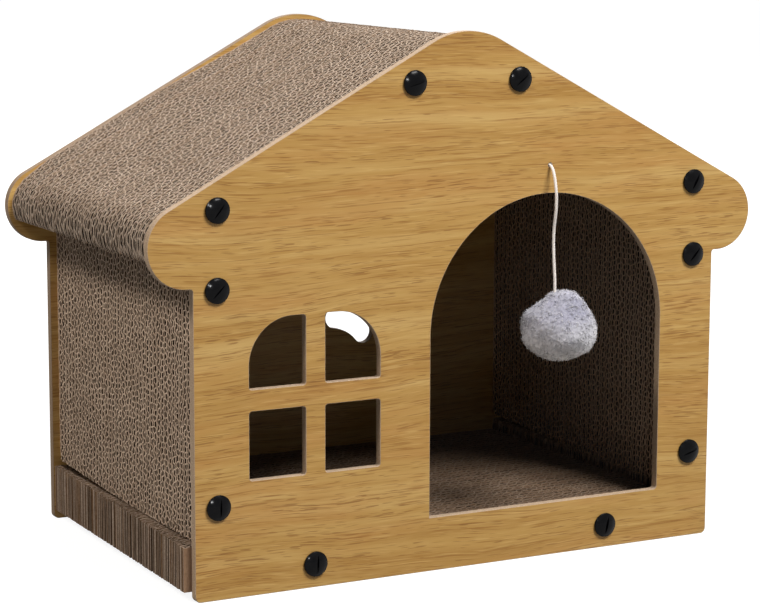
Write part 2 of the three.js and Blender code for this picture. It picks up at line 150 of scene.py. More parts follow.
# The photograph's viewpoint
CAMERA_PLACE = Vector((-0.84384, -1.58514, 0.45518))
CAMERA_TURN, CAMERA_RISE, CAMERA_ROLL = -0.491118, 0.161531, 0.002780
PHOTO_WIDTH, FOCAL_LENGTH_PIXELS = 760, 2537.596


def placed(name, data):
    made = bpy.data.objects.new(name, data)
    scene.collection.objects.link(made)
    return made


def photo_camera():
    """The photograph's camera. Gives back the way to its right, before its roll."""
    data = bpy.data.cameras.new("camera")
    data.sensor_width = 36
    data.lens = FOCAL_LENGTH_PIXELS * data.sensor_width / PHOTO_WIDTH
    data.clip_start, data.clip_end = 0.05, 60
    camera = scene.camera = placed("camera", data)
    turn = Matrix.Rotation(CAMERA_TURN, 4, "Z")
    level = turn @ Matrix.Rotation(math.pi / 2 - CAMERA_RISE, 4, "X")
    rolled = level @ Matrix.Rotation(CAMERA_ROLL, 4, "Z")
    camera.matrix_world = Matrix.Translation(CAMERA_PLACE) @ rolled
    return level.col[0].to_3d()


def lamp(name, toward, distance, size, power, colour, only_gloss=False):
    """A soft box that shines at the middle of the house from the way that toward points."""
    data = bpy.data.lights.new(name, "AREA")
    data.shape = "RECTANGLE"
    data.size, data.size_y = size
    data.energy = power
    data.color = colour
    holder = placed(name, data)
    toward = Vector(toward).normalized()
    holder.location = Vector((0, 0, 0.15)) + toward * distance
    holder.rotation_mode = "QUATERNION"
    holder.rotation_quaternion = toward.to_track_quat("Z", "Y")
    holder.visible_diffuse = not only_gloss


class Graph:
    """A material's nodes. Most calls add one node and give back its output socket."""

    def __init__(self, tree):
        self.tree = tree
        self.tree.nodes.clear()

    def add(self, kind, inputs=None, output=0, **settings):
        node = self.tree.nodes.new(kind)
        for key, value in settings.items():
            setattr(node, key, value)
        for key, value in (inputs or {}).items():
            if isinstance(value, bpy.types.NodeSocket):
                self.tree.links.new(value, node.inputs[key])
            else:
                node.inputs[key].default_value = value
        return node.outputs[output] if node.outputs else None

    def axis(self, vector, name):
        return self.add("ShaderNodeSeparateXYZ", {0: vector}, output=name)

    def number(self, operation, first, second=0.0):
        return self.add("ShaderNodeMath", {0: first, 1: second}, operation=operation)

    def plus(self, first, second):
        return self.number("ADD", first, second)

    def minus(self, first, second):
        return self.number("SUBTRACT", first, second)

    def times(self, first, second):
        return self.number("MULTIPLY", first, second)

    def from_middle(self, place):
        """How far a place is to the left or the right of the middle of the house."""
        return self.number("ABSOLUTE", self.axis(place, "X"))

    def noise(self, vector, scale, detail=2.0, roughness=0.5):
        """Noise at one scale, or at one for each axis."""
        if isinstance(scale, tuple):
            inputs = {0: vector, 1: scale}
            vector = self.add("ShaderNodeVectorMath", inputs, operation="MULTIPLY")
            scale = 1.0
        inputs = {"Vector": vector, "Scale": scale, "Detail": detail, "Roughness": roughness}
        return self.add("ShaderNodeTexNoise", inputs)

    def ramp(self, factor, *stops):
        """Colours, as their values from 0 to 255, at their places from 0 to 1."""
        output = self.add("ShaderNodeValToRGB", {"Fac": factor})
        steps = output.node.color_ramp.elements
        while len(steps) < len(stops):
            steps.new(0.5)
        for step, (position, tone) in zip(steps, stops):
            step.position = position
            step.color = colour(*tone)
        return output

    def span(self, value, low, high, to_low=0.0, to_high=1.0, kind="LINEAR"):
        ends = {"From Min": low, "From Max": high, "To Min": to_low, "To Max": to_high}
        return self.add("ShaderNodeMapRange", {"Value": value, **ends}, interpolation_type=kind)

    def over(self, base, share, tone):
        """A base with a share of a colour over it, which has values from 0 to 255."""
        inputs = {0: share, 6: base, 7: colour(*tone)}
        return self.add("ShaderNodeMix", inputs, output=2, data_type="RGBA")

    def coat(self, base, roughness, gloss, relief, strength, distance):
        """The shader's inputs, with a bump made from relief."""
        inputs = {"Height": relief, "Strength": strength, "Distance": distance}
        return {
            "Base Color": base,
            "Roughness": roughness,
            "Specular IOR Level": gloss,
            "Normal": self.add("ShaderNodeBump", inputs),
        }


def colour(red, green, blue):
    """A colour as the photograph's values from 0 to 255, for a node's socket."""
    shares = [value / 255 for value in (red, green, blue)]
    linear = [s / 12.92 if s <= 0.04045 else ((s + 0.055) / 1.055) ** 2.4 for s in shares]
    return (*linear, 1.0)


def surface(name, paint, *settings):
    """A new material. paint gives the Principled shader's inputs, from nodes that it adds."""
    material = bpy.data.materials.new(name)
    material.use_nodes = True
    graph = Graph(material.node_tree)
    place = graph.add("ShaderNodeTexCoord", output="Object")
    shader = graph.add("ShaderNodeBsdfPrincipled", paint(graph, place, *settings))
    graph.add("ShaderNodeOutputMaterial", {"Surface": shader})
    return material


def seen_directly(graph):
    """One for the rays that show the background, and nothing for those that light things."""
    path = graph.add("ShaderNodeLightPath").node
    seen = path.outputs["Is Camera Ray"]
    for name in ("Is Glossy Ray", "Is Transmission Ray"):
        seen = graph.number("MAXIMUM", seen, path.outputs[name])
    return seen


def paint_laminate(graph, place):
    wave = graph.noise(place, (4.2, 3.0, 8.0), 1.5)
    ripple = graph.noise(place, (16.0, 3.0, 26.0), 1.5)
    axes = graph.add("ShaderNodeSeparateXYZ", {0: place}).node.outputs
    swell = graph.span(wave, 0.0, 1.0, -14 * MM, 14 * MM)
    wobble = graph.span(ripple, 0.0, 1.0, -1.6 * MM, 1.6 * MM)
    height = graph.plus(axes["Z"], graph.plus(swell, wobble))
    grain = graph.add("ShaderNodeCombineXYZ", {0: axes["X"], 1: axes["Y"], 2: height})
    band = graph.noise(grain, (3.0, 4.0, 95.0), 2.5, 0.6)
    tint = graph.noise(grain, (9.0, 4.0, 60.0))
    streak = graph.noise(grain, (11.0, 4.0, 430.0), 3.0, 0.65)
    fibre = graph.noise(grain, (60.0, 4.0, 1500.0))
    patch = graph.noise(grain, (9.0, 4.0, 110.0), 1.0)
    line = graph.noise(grain, (36.0, 4.0, 1250.0), 1.0)
    gleam = graph.noise(grain, (44.0, 5.0, 1150.0), 1.0)
    pore = graph.noise(grain, (85.0, 4.0, 1700.0), 0.0)

    wood = graph.ramp(
        band, (0.32, (163, 120, 56)), (0.50, (182, 142, 76)), (0.66, (199, 164, 101)),
    )
    for marks, low, high, share, tone in (
        (tint, 0.50, 0.68, 0.50, (180, 128, 68)),
        (streak, 0.50, 0.74, 0.50, (158, 112, 50)),
        (fibre, 0.30, 0.70, 0.45, (188, 150, 88)),
        (gleam, 0.58, 0.72, 0.50, (206, 170, 106)),
        (line, 0.58, 0.69, 0.62, (142, 96, 40)),
    ):
        wood = graph.over(wood, graph.span(marks, low, high, 0.0, share), tone)
    wanted = graph.span(patch, 0.36, 0.66, 0.78, 0.62)
    pored = graph.span(graph.minus(pore, wanted), 0.0, 0.08, 0.0, 0.6)
    wood = graph.over(wood, pored, (124, 80, 34))
    roughness = graph.span(streak, 0.3, 0.7, 0.40, 0.52)
    return graph.coat(wood, roughness, 0.3, graph.minus(fibre, pored), 0.12, 0.2 * MM)


def paint_fibreboard(graph, place):
    """Raw edges of the panels, which are darker on the back panel."""
    speckle = graph.noise(place, 900.0, 3.0, 0.7)
    tone = graph.ramp(
        speckle, (0.30, (152, 128, 102)), (0.52, (177, 154, 129)), (0.75, (199, 178, 156)),
    )
    cloud = graph.span(graph.noise(place, 60.0), 0.3, 0.7, 0.0, 0.3)
    clouded = graph.over(tone, cloud, (172, 150, 132))
    at_back = graph.number("GREATER_THAN", graph.axis(place, "Y"), 0.0)
    final = graph.over(clouded, graph.times(at_back, 0.6), (118, 99, 80))
    return graph.coat(final, 0.85, 0.2, speckle, 0.35, 0.2 * MM)


def roof_depth(graph, place):
    """How deep a place lies under the roof's outer face, which wraps round the eave."""
    across = graph.minus(graph.from_middle(place), EAVE_X)
    rise = graph.minus(graph.axis(place, "Z"), EAVE_Z)
    cosine, sine = math.cos(ROOF_SLOPE), math.sin(ROOF_SLOPE)
    along = graph.minus(graph.times(across, cosine), graph.times(rise, sine))
    up = graph.plus(graph.times(across, sine), graph.times(rise, cosine))
    from_ridge = graph.plus(along, ROOF_STRAIGHT)

    def depth_below(past, height, radius):
        squares = graph.plus(graph.times(past, past), graph.times(height, height))
        return graph.minus(radius, graph.number("SQRT", squares))

    past_eave = graph.number("MAXIMUM", along, 0.0)
    past_ridge = graph.number("MINIMUM", from_ridge, 0.0)
    above_ridge = graph.plus(up, RIDGE_RADIUS - EAVE_RADIUS)
    at_eave = depth_below(past_eave, up, EAVE_RADIUS - ROOF_INSET)
    at_ridge = depth_below(past_ridge, above_ridge, RIDGE_RADIUS - ROOF_INSET)
    down = graph.span(from_ridge, *BULGE_DOWN, 0.0, ROOF_BULGE, "SMOOTHSTEP")
    nose = graph.span(along, *BULGE_NOSE, 1.0, 0.0, "SMOOTHSTEP")
    back = graph.span(graph.axis(place, "Y"), *BULGE_BACK, kind="SMOOTHSTEP")
    bulge = graph.times(graph.times(down, nose), back)
    return graph.plus(graph.number("MINIMUM", at_eave, at_ridge), bulge)


def wall_depth(graph, place):
    """How deep a place lies under the nearer face of a wall."""
    across = graph.from_middle(place)
    outer, inner = graph.minus(WALL_OUTER, across), graph.minus(across, WALL_INNER)
    return graph.number("MINIMUM", outer, inner)


def base_depth(graph, place):
    """How deep a place lies under the floor or inside the base's ends.

    The stack is open at the ends, so a way in from there counts for a fifth.
    """
    lean = graph.times(graph.axis(place, "Y"), BASE_SKEW / (2 * PAD_HALF_DEPTH))
    across = graph.number("ABSOLUTE", graph.minus(graph.axis(place, "X"), lean))
    end = graph.times(graph.minus(BASE_HALF_LENGTH, across), 0.2)
    inside = graph.number("LESS_THAN", graph.from_middle(place), WALL_INNER)
    top = graph.span(inside, 0.0, 1.0, BASE_END_FRONT, FLOOR_HEIGHT)
    return graph.number("MINIMUM", end, graph.minus(top, graph.axis(place, "Z")))


def kraft(graph, place, dark, middle, light):
    """The fibres of brown paper and their colours."""
    fibres = graph.noise(place, (500, 500, 300), 3.0, 0.65)
    return fibres, graph.ramp(fibres, (0.28, dark), (0.5, middle), (0.75, light))


def paint_kraft(graph, place, depth_of, darkest):
    """Paper seen in the cells of a pad, with painted shade that darkens it away from the face,
    fully dark at the depth darkest.
    """
    fibres, tone = kraft(graph, place, (106, 80, 58), (128, 100, 75), (148, 119, 92))
    # Painted shade: the paper goes dark with depth under the face, standing in for the cells'
    # shade
    deep = graph.span(depth_of(graph, place), 0.0, darkest)
    return graph.coat(graph.over(tone, deep, (24, 15, 10)), 0.9, 0.15, fibres, 0.3, 0.3 * MM)


def paint_kraft_liner(graph, place):
    fibres, tone = kraft(graph, place, (132, 102, 78), (148, 118, 92), (162, 132, 106))
    cloud = graph.span(graph.noise(place, 45.0), 0.35, 0.65, 0.0, 0.4)
    return graph.coat(graph.over(tone, cloud, (138, 108, 84)), 0.85, 0.2, fibres, 0.3, 0.3 * MM)


def paint_cut(graph, place, light, middle, dark, of_base=False):
    """Cut edges of the papers. On the base, the floor inside the house and the gap under a wall's
    foot are darkened with painted shade.
    """
    speckle = graph.noise(place, 800.0, 3.0, 0.7)
    cloud = graph.noise(place, 55.0, 4.0, 0.6)
    tone = graph.ramp(speckle, (0.28, dark), (0.5, middle), (0.72, light))
    final = graph.over(tone, graph.span(cloud, 0.35, 0.68, 0.0, 0.55), dark)
    if of_base:
        across = graph.from_middle(place)
        on_floor = graph.number("LESS_THAN", across, WALL_INNER)
        # Painted shade: the floor inside the house is darkened in clouds
        painted_floor_shade = graph.times(on_floor, graph.span(cloud, 0.3, 0.6, 0.6, 0.8))
        final = graph.over(final, painted_floor_shade, (92, 76, 62))
        raised = graph.span(graph.axis(place, "Z"), FLOOR_HEIGHT, FLOOR_HEIGHT + 2 * MM)
        covered = graph.span(across, WALL_OUTER - 0.6 * MM, WALL_OUTER + 1.0 * MM, 1.0, 0.0)
        outside = graph.span(across, WALL_INNER + 4 * MM, WALL_INNER + 8 * MM)
        # Painted shade in the gap under a wall's foot
        painted_gap_shade = graph.times(raised, graph.times(covered, outside))
        final = graph.over(final, painted_gap_shade, (34, 24, 17))
    return graph.coat(final, 0.95, 0.1, speckle, 0.4, 0.3 * MM)


def paint_plastic(graph, place):
    haze = graph.noise(place, 260.0, 3.0)
    final = graph.ramp(haze, (0.3, (2, 2, 4)), (0.7, (7, 7, 9)))
    roughness = graph.span(haze, 0.3, 0.7, 0.13, 0.20)
    return graph.coat(final, roughness, 0.09, graph.noise(place, 900.0), 0.06, 0.1 * MM)


def paint_yarn(graph, place):
    """Grey yarn, painted paler towards its underside as painted light, with painted shade in
    darker partings.
    """
    fuzz = graph.noise(place, 1100.0, 4.0, 0.7)
    tone = graph.ramp(
        fuzz, (0.28, (128, 128, 145)), (0.5, (146, 146, 163)), (0.72, (163, 163, 178)),
    )
    cloud = graph.span(graph.noise(place, 90.0), 0.35, 0.65, 0.0, 0.5)
    clouded = graph.over(tone, cloud, (148, 149, 158))
    # Painted light: the yarn is painted paler towards its underside, which the lamps light least
    low = POM_POM_CENTRE.z - POM_POM_HALF_HEIGHT
    lower = graph.span(graph.axis(place, "Z"), low, low + 34 * MM, 1.0, 0.0)
    painted_underside_light = graph.over(clouded, lower, (240, 238, 240))
    # Painted shade: darker partings between the yarn ends
    parting = graph.noise(place, (520, 520, 260), 3.0, 0.6)
    final = graph.over(painted_underside_light, graph.span(parting, 0.34, 0.47, 0.5, 0.0), (104, 102, 114))
    return {
        **graph.coat(final, 1.0, 0.1, fuzz, 0.4, 0.5 * MM),
        "Sheen Weight": 0.25,
        "Sheen Roughness": 0.6,
        "Subsurface Weight": 0.75,
        "Subsurface Radius": (1.0, 1.0, 1.0),
        "Subsurface Scale": 18 * MM,
    }


def paint_string(graph, place):
    fibres = graph.noise(place, (2200, 2200, 700), 3.0, 0.6)
    final = graph.ramp(
        fibres, (0.3, (202, 194, 188)), (0.5, (229, 222, 216)), (0.75, (242, 237, 232)),
    )
    return graph.coat(final, 0.85, 0.2, fibres, 0.5, 0.2 * MM)


def paint_floor(graph, place):
    """Grey where it throws light at the house, and white where it is seen."""
    reach = graph.add("ShaderNodeVectorMath", {0: place}, output="Value", operation="LENGTH")
    white = graph.span(reach, 0.5, 2.5, 0.9, 1.0)
    return {
        "Base Color": colour(128, 128, 128),
        "Roughness": 1.0,
        "Specular IOR Level": 0.0,
        "Emission Color": colour(255, 255, 255),
        "Emission Strength": graph.times(seen_directly(graph), white),
    }


laminate = surface("wood_laminate", paint_laminate)
fibreboard = surface("raw_fibreboard", paint_fibreboard)
kraft_liner = surface("kraft_liner", paint_kraft_liner)
# Paper in the cells, with painted shade by depth under each pad's face
roof_kraft = surface("roof_kraft", paint_kraft, roof_depth, 0.4 * MM)
wall_kraft = surface("wall_kraft", paint_kraft, wall_depth, 0.6 * MM)
base_kraft = surface("base_kraft", paint_kraft, base_depth, 0.6 * MM)
# One paper in every pad: its cut tones are painted paler on the walls, which the lamps light
# least, and darker on the roof and the base, as painted light and shade
roof_tones = (208, 192, 175), (182, 164, 147), (148, 130, 113)
wall_tones = (232, 210, 188), (212, 188, 165), (178, 155, 134)
base_tones = (206, 186, 168), (180, 159, 140), (146, 126, 109)
roof_cut = surface("roof_paper_cut", paint_cut, *roof_tones)
wall_cut = surface("wall_paper_cut", paint_cut, *wall_tones)
base_cut = surface("base_paper_cut", paint_cut, *base_tones, True)
plastic = surface("black_plastic", paint_plastic)
yarn = surface("pom_pom_yarn", paint_yarn)
string = surface("cord_string", paint_string)


def studio():
    """White floor and surroundings, a soft box in front from above, two fills and a glint."""
    corners = np.array([(-20, -20, 0), (20, -20, 0), (20, 20, 0), (-20, 20, 0)])
    mesh = build_mesh("floor", corners, [(0, 1, 2, 3)], surface("floor", paint_floor))
    placed("floor", mesh)

    world = bpy.data.worlds.new("surroundings")
    scene.world = world
    world.use_nodes = True
    graph = Graph(world.node_tree)
    fill = graph.add("ShaderNodeBackground", {"Color": (0.95, 0.97, 1.0, 1), "Strength": 0.04})
    white = graph.add("ShaderNodeBackground", {"Color": colour(255, 255, 255), "Strength": 1.0})
    both = graph.add("ShaderNodeMixShader", {0: seen_directly(graph), 1: fill, 2: white})
    graph.add("ShaderNodeOutputWorld", {"Surface": both})

    lamp("key", (0.25, -0.57, 0.80), 3.2, (1.3, 1.1), 135, (1.0, 0.985, 0.965))
    lamp("side_fill", (-1.0, -0.12, 1.08), 2.4, (0.42, 0.42), 33, (1.0, 0.94, 0.87))
    lamp("back_fill", (0.35, 0.88, 0.32), 3.2, (1.2, 1.0), 66, (1.0, 0.99, 0.98))
    lamp("front_glint", (-0.35, -0.88, 0.32), 2.8, (0.28, 0.28), 30, (1, 1, 1), only_gloss=True)


def piece(name, mesh, body, node):
    made = placed(name, mesh)
    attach(made, body)
    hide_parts(node)
    return made


def build_mesh(name, points, faces, *materials, index=None, smooth=False):
    """A mesh from an array of points and a list of faces. index gives each face's material."""
    mesh = bpy.data.meshes.new(name)
    mesh.from_pydata(points.tolist(), [], faces)
    for material in materials:
        mesh.materials.append(material)
    if index is not None:
        mesh.polygons.foreach_set("material_index", index.astype(np.int32))
    if smooth:
        mesh.polygons.foreach_set("use_smooth", np.ones(len(mesh.polygons), dtype=bool))
    mesh.update()
    return mesh


def mend(mesh, *others, weld=False):
    """Joins other meshes to a mesh, and turns its faces outward."""
    shape = bmesh.new()
    for part in (mesh, *others):
        shape.from_mesh(part)
    if weld:
        bmesh.ops.remove_doubles(shape, verts=shape.verts, dist=0.001 * MM)
    bmesh.ops.recalc_face_normals(shape, faces=shape.faces)
    for face in shape.faces:
        face.smooth = True
    shape.to_mesh(mesh)
    shape.free()


def taken_from(holder, *materials):
    """The finished mesh of an object that was only made for it."""
    evaluated = holder.evaluated_get(bpy.context.evaluated_depsgraph_get())
    mesh = bpy.data.meshes.new_from_object(evaluated)
    bpy.data.objects.remove(holder)
    mesh.materials.clear()
    for material in materials:
        mesh.materials.append(material)
    return mesh


def arc(x, z, radius, start, end, steps):
    """Points on an arc, both ends included."""
    angles = np.linspace(start, end, steps + 1)
    return [(x + radius * math.cos(a), z + radius * math.sin(a)) for a in angles]


def circle(x, z, radius, sides):
    return arc(x, z, radius, 0, 2 * math.pi, sides)[:-1]


def roof_height(x, inset):
    """Height of the right-hand slope, inset square to itself, above a given x."""
    rise = EAVE_RADIUS - inset - (x - EAVE_X) * math.sin(ROOF_SLOPE)
    return EAVE_Z + rise / math.cos(ROOF_SLOPE)


def panel_outline():
    corner, fillet = BOTTOM_CORNER_RADIUS, NOTCH_FILLET_RADIUS
    right = [
        *arc(WALL_HALF - corner, corner, corner, -math.pi / 2, 0, 8),
        *arc(WALL_HALF + fillet, NOTCH_HEIGHT - fillet, fillet, math.pi, math.pi / 2, 6),
        *arc(EAVE_X, EAVE_Z, EAVE_RADIUS, -math.pi / 2, ROOF_NORMAL, 44),
        *arc(0, RIDGE_Z, RIDGE_RADIUS, ROOF_NORMAL, math.pi / 2, 18),
    ]
    return right + [(-x, z) for x, z in reversed(right[:-1])]


def door_outline():
    corner, right, radius = DOOR_CORNER_RADIUS, DOOR_LEFT + DOOR_WIDTH, DOOR_WIDTH / 2
    return [
        (DOOR_LEFT, DOOR_SILL),
        *arc(right - corner, DOOR_SILL + corner, corner, -math.pi / 2, 0, 6),
        *arc(DOOR_LEFT + radius, DOOR_SPRING, radius, 0, math.pi, 96),
    ]


def pane_outline(x, z, height, radii):
    """A pane with its own radius at each corner: low left, low right, top right, top left."""
    corners = [(x, z), (x + PANE_WIDTH, z), (x + PANE_WIDTH, z + height), (x, z + height)]
    inward = [(1, 1), (-1, 1), (-1, -1), (1, -1)]
    points = []
    for index, (corner, side, radius) in enumerate(zip(corners, inward, radii)):
        start = math.pi * (1 + index / 2)
        centre = corner[0] + side[0] * radius, corner[1] + side[1] * radius
        steps = 28 if radius > PANE_CORNER_RADIUS else 5
        points += arc(*centre, radius, start, start + math.pi / 2, steps)
    return points


def window_outlines():
    small, arch = PANE_CORNER_RADIUS, WINDOW_ARCH_RADIUS
    right = WINDOW_LEFT + PANE_WIDTH + WINDOW_BAR
    upper = WINDOW_BOTTOM + LOWER_PANE + WINDOW_BAR
    return [
        pane_outline(WINDOW_LEFT, WINDOW_BOTTOM, LOWER_PANE, [small] * 4),
        pane_outline(right, WINDOW_BOTTOM, LOWER_PANE, [small] * 4),
        pane_outline(WINDOW_LEFT, upper, UPPER_PANE, [small, small, small, arch]),
        pane_outline(right, upper, UPPER_PANE, [small, small, arch, small]),
    ]


def vent_outline():
    """A bean: an arc of the vent's width with round ends."""
    low, high = VENT_ANGLES
    half = VENT_WIDTH / 2

    def end(angle):
        reach = VENT_BEND_RADIUS
        return VENT_X + reach * math.cos(angle), VENT_Z + reach * math.sin(angle)

    return [
        *arc(VENT_X, VENT_Z, VENT_BEND_RADIUS + half, low, high, 20),
        *arc(*end(high), half, high, high + math.pi, 16)[1:],
        *arc(VENT_X, VENT_Z, VENT_BEND_RADIUS - half, high, low, 14)[1:],
        *arc(*end(low), half, low + math.pi, low + 2 * math.pi, 16)[1:-1],
    ]


def screw_places():
    """The middle of each screw, by the name of its node."""
    found = {}
    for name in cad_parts:
        if name.endswith("_screw"):
            low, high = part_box(name)
            found[name] = (low + high) / 2
    return found


SCREWS = screw_places()
SCREW_HOLE_RADIUS = 4.7 * MM


def panel(name, node, openings, middle_y):
    """A flat board from its outlines, with a fine bevel, laminated on both faces."""
    curve = bpy.data.curves.new(name, "CURVE")
    curve.dimensions, curve.fill_mode = "2D", "BOTH"
    curve.extrude = PANEL_THICKNESS / 2 - PANEL_BEVEL
    curve.bevel_depth, curve.bevel_resolution = PANEL_BEVEL, 1
    curve.offset = -PANEL_BEVEL
    for loop in [panel_outline(), *openings]:
        spline = curve.splines.new("POLY")
        spline.points.add(len(loop) - 1)
        spline.points.foreach_set("co", [value for x, z in loop for value in (x, z, 0, 1)])
        spline.use_cyclic_u = True
    mesh = taken_from(placed(name, curve), laminate, fibreboard)
    mesh.name = name
    mesh.transform(Matrix.Translation((0, middle_y, 0)) @ Matrix.Rotation(math.pi / 2, 4, "X"))
    mend(mesh, weld=True)
    for face in mesh.polygons:
        face.material_index = 0 if abs(face.normal.y) > 0.98 else 1
    mesh.set_sharp_from_angle(angle=math.radians(18))
    piece(name, mesh, "house", node)


def make_panels():
    front = [place for name, place in SCREWS.items() if name.startswith("front")]
    holes = [circle(place.x, place.z, SCREW_HOLE_RADIUS, 20) for place in front]
    holes_in_front = [circle(CORD_HOLE.x, CORD_HOLE.z, CORD_HOLE_RADIUS, 24), *holes]
    openings = [door_outline(), *window_outlines(), *holes_in_front]
    middle = HALF_DEPTH - PANEL_THICKNESS / 2
    panel("front_panel_board", "front_panel", openings, -middle)
    panel("back_panel_board", "back_panel", [vent_outline(), *holes], middle)


class Papers:
    """Strips of paper on edge, gathered into one mesh.

    low and high give where a strip's two cut edges are, to_world turns the stack's own axes
    into the house's, and loose gives how far the strips may fall short at each end.
    """

    def __init__(self, low, high, to_world, kraft, cut, loose, seed, plain=False):
        self.low, self.high, self.to_world, self.loose = low, high, to_world, loose
        self.materials = kraft, cut, kraft_liner
        self.stations = PLAIN_FLUTE if plain else ROUND_FLUTE
        self.spacing = PLAIN_SPACING if plain else ROUND_SPACING
        self.points, self.faces, self.index, self.count = [], [], [], 0
        self.random = np.random.default_rng(seed)
        # One draw more than there are waves
        self.bends = self.random.uniform(0, 2 * math.pi, 3)

    def sway(self, along, depth):
        """How far the stack wanders, which is nothing at its front and its back."""
        held = np.sqrt(np.clip(1 - (depth / PAD_HALF_DEPTH) ** 2, 0, 1))
        return held * sum(
            size * np.sin(along / length + depth / lean + bend)
            for (size, length, lean), bend in zip(SWAYS, self.bends)
        )

    def strip(self, along, depth, thickness, lift, outermost=False):
        """One strip whose middle runs through (along, depth), from the low to the high outline."""
        frayed = lift + self.random.normal(0, EDGE_FRAY, len(along))
        thickness = thickness * self.random.uniform(*PAPER_SHARES, len(along))
        if not outermost:
            depth = depth + self.sway(along, depth)
        step_a, step_d = np.gradient(along), np.gradient(depth)
        length = np.hypot(step_a, step_d)
        side_a, side_d = -step_d / length * thickness / 2, step_a / length * thickness / 2
        corners = []
        for sign, is_low in ((1, True), (1, False), (-1, False), (-1, True)):
            a, d = along + sign * side_a, depth + sign * side_d
            low = self.low(a) + 0 * a
            high = np.maximum(self.high(a, d) + frayed, low + LOWEST_STRIP)
            corners.append(self.to_world(a, low if is_low else high, d))
        points = np.stack(corners, axis=1).reshape(-1, 3)
        corner = np.arange(4)
        here = self.count + 4 * np.arange(len(along) - 1)[:, None] + corner
        other = here - corner + (corner + 1) % 4
        sides = np.stack([here, other, other + 4, here + 4], axis=2).reshape(-1, 4)
        last = self.count + len(points) - 4
        self.faces += [sides, [self.count + corner[::-1], last + corner]]
        on_side = 2 if outermost else 0
        self.index += [np.tile([on_side, 1], len(sides) // 2), [1, 1]]
        self.points.append(points)
        self.count += len(points)

    def mesh(self, name):
        points, faces = np.concatenate(self.points), np.concatenate(self.faces)
        corners = points[faces]
        outward = np.cross(corners[:, 1] - corners[:, 0], corners[:, 2] - corners[:, 0])
        if (outward * corners[:, 0]).sum() < 0:
            faces = faces[:, ::-1]
        index = np.concatenate(self.index)
        return build_mesh(name, points, faces.tolist(), *self.materials, index=index)


def make_pad(name, papers, span, stops):
    """Forty layers of double-wall board from the front to the back of a pad.

    span gives a strip's two ends for a depth, and stops gives places that need a point.
    """
    random = papers.random
    pitch = (2 * PAD_HALF_DEPTH - JOINT_PAPER) / BOARDS
    room = pitch - JOINT_PAPER - MIDDLE_PAPER
    big, small = room * BIG_FLUTE_SHARE, room * (1 - BIG_FLUTE_SHARE)

    def ends(depth):
        start, end = span(depth)
        return start + random.uniform(0, papers.loose[0]), end - random.uniform(0, papers.loose[1])

    def flat(depth, thickness, lift, outermost=False):
        start, end = ends(depth)
        points = np.concatenate([np.arange(start, end, papers.spacing), [end], stops(depth)])
        along = np.unique(points[(points >= start) & (points <= end)])
        papers.strip(along, np.full(len(along), depth), thickness, lift, outermost)

    def flute(depth, height, lift):
        start, end = ends(depth)
        phase = random.uniform(0, 2 * math.pi)
        stretch, shift = random.uniform(*STRETCH_LENGTHS), random.uniform(0, 6)
        crush, crush_shift = random.uniform(*CRUSH_LENGTHS), random.uniform(0, 6)
        waves = np.arange(math.floor(start / FLUTE_LENGTH) - 2, math.ceil(end / FLUTE_LENGTH) + 2)
        turned, out, thicker = papers.stations.T
        turns = (2 * math.pi * waves[:, None] + np.radians(turned)).ravel() + phase
        along = turns * FLUTE_LENGTH / (2 * math.pi)
        along = along - FLUTE_STRETCH * np.sin(along / stretch + shift)
        along += random.normal(0, FLUTE_STRAY, len(along))
        shares, thickness = np.tile(out, len(waves)), np.tile(thicker, len(waves))
        fixed = np.concatenate([[start, end], stops(depth)])
        fixed = fixed[(fixed >= start) & (fixed <= end)]
        table = np.hstack([
            [along, shares, thickness], [fixed, np.interp(fixed, along, shares), fixed * 0 + 1],
        ])
        table = table[:, np.argsort(table[0])]
        kept = (table[0] >= start) & (table[0] <= end)
        kept[1:] &= np.diff(table[0]) > CLOSEST_POINTS
        along, shares, thickness = table[:, kept]
        crushed = np.clip(np.sin(along / crush + crush_shift), 0, 1) ** 4
        reach = (height - FLUTE_PAPER) / 2 * (1 - FLUTE_CRUSH * crushed)
        papers.strip(along, depth + reach * shares, thickness * FLUTE_PAPER, lift)

    for board in range(BOARDS):
        front = -PAD_HALF_DEPTH + board * pitch
        middle = front + JOINT_PAPER + big
        lift = random.normal(0, BOARD_SHIFT)
        lifts = lift + random.normal(0, BOARD_SHIFT, 4)
        flat(front + JOINT_PAPER / 2, JOINT_PAPER, lifts[0], board == 0)
        flute(front + JOINT_PAPER + big / 2, big, lifts[1])
        flat(middle + MIDDLE_PAPER / 2, MIDDLE_PAPER, lifts[2])
        flute(middle + MIDDLE_PAPER + small / 2, small, lifts[3])
    flat(PAD_HALF_DEPTH - JOINT_PAPER / 2, JOINT_PAPER, 0.0, True)
    piece(f"{name}_board", papers.mesh(name), "house", name)


def smooth_step(value, low, high):
    share = np.clip((value - low) / (high - low), 0, 1)
    return share * share * (3 - 2 * share)


